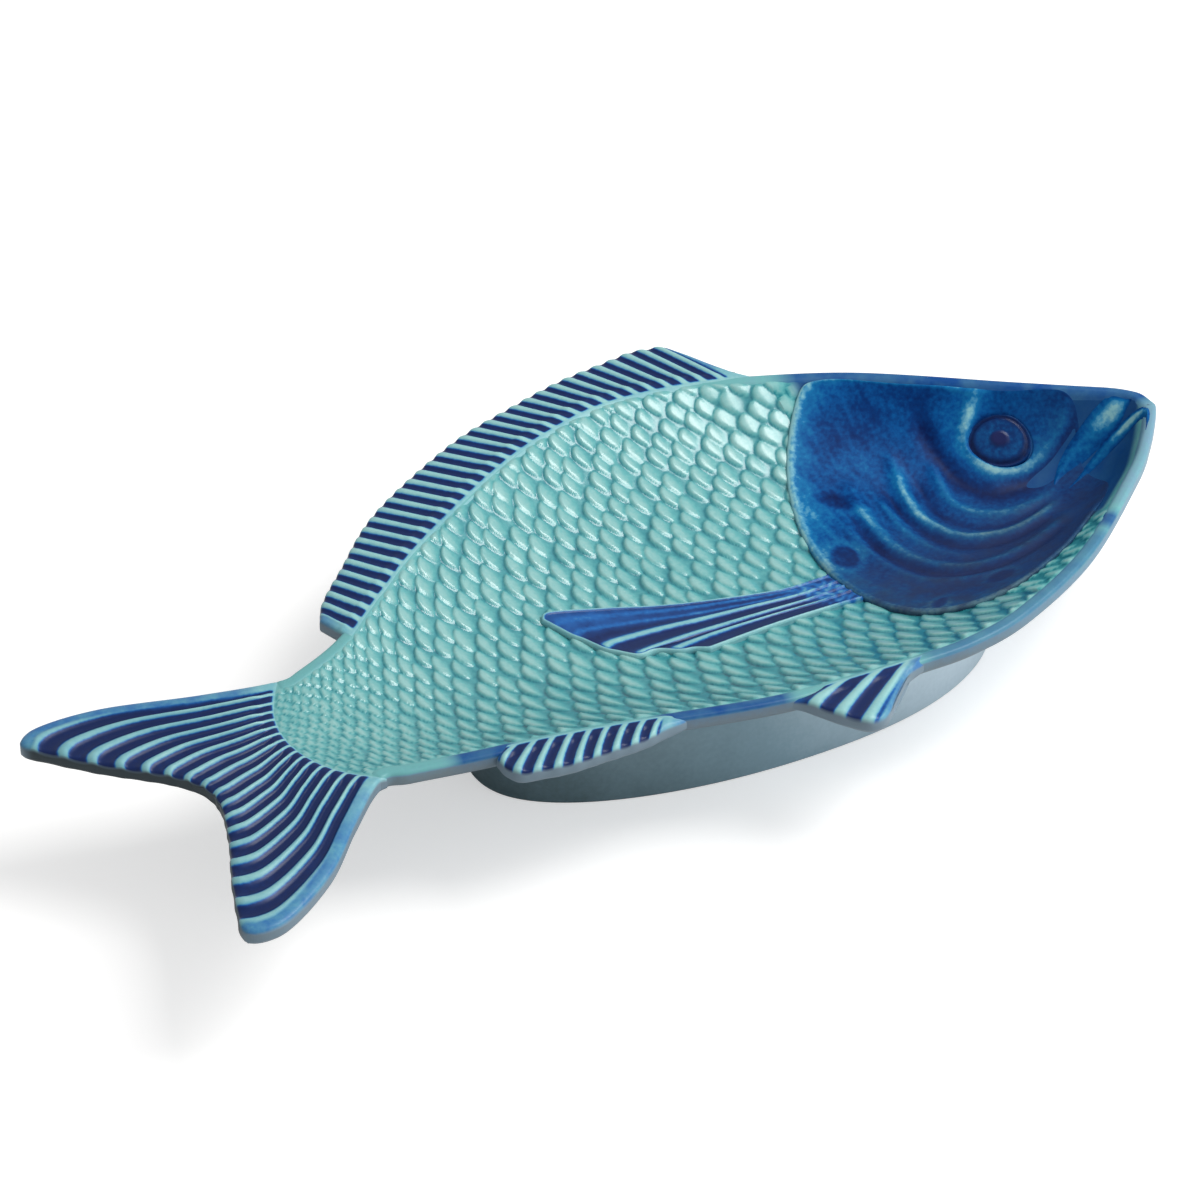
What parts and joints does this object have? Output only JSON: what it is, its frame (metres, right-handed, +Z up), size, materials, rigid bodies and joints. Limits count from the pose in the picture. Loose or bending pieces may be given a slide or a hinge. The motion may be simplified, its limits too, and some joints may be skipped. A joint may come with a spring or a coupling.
{
  "type": "fish shaped platter",
  "caption": "Shallow serving platter in the shape of a fish, with ribbed fins on its rim, a relief head and side fin in its well and an oval foot ring.",
  "frame": {"origin": "centre of the bounding box in plan, on the table the foot ring stands on", "axes": "+X along the fish from tail to nose, +Y from belly to back, +Z up out of the well"},
  "size_m": [0.425, 0.2264, 0.0485],
  "materials": {
    "scale_glaze": "turquoise glaze that pools darker between the scales",
    "foot_glaze": "thin grey-blue glaze with a bare clay standing face",
    "fin_glaze": "cobalt brushed between pale turquoise ribs",
    "head_glaze": "deep blue glaze, paler on the ridges",
    "eye_glaze": "bright blue brushed glaze with a dark pupil"
  },
  "bodies": {
    "root": {"dish_body": "scale_glaze", "foot_ring": "foot_glaze", "tail_fin": "fin_glaze", "dorsal_fin": "fin_glaze", "anal_fin": "fin_glaze", "pelvic_fin": "fin_glaze", "pectoral_fin": "fin_glaze", "gill_cover": "head_glaze", "eyeball": "eye_glaze", "upper_jaw": "head_glaze", "lower_jaw": "head_glaze"}
  },
  "joints": []
}
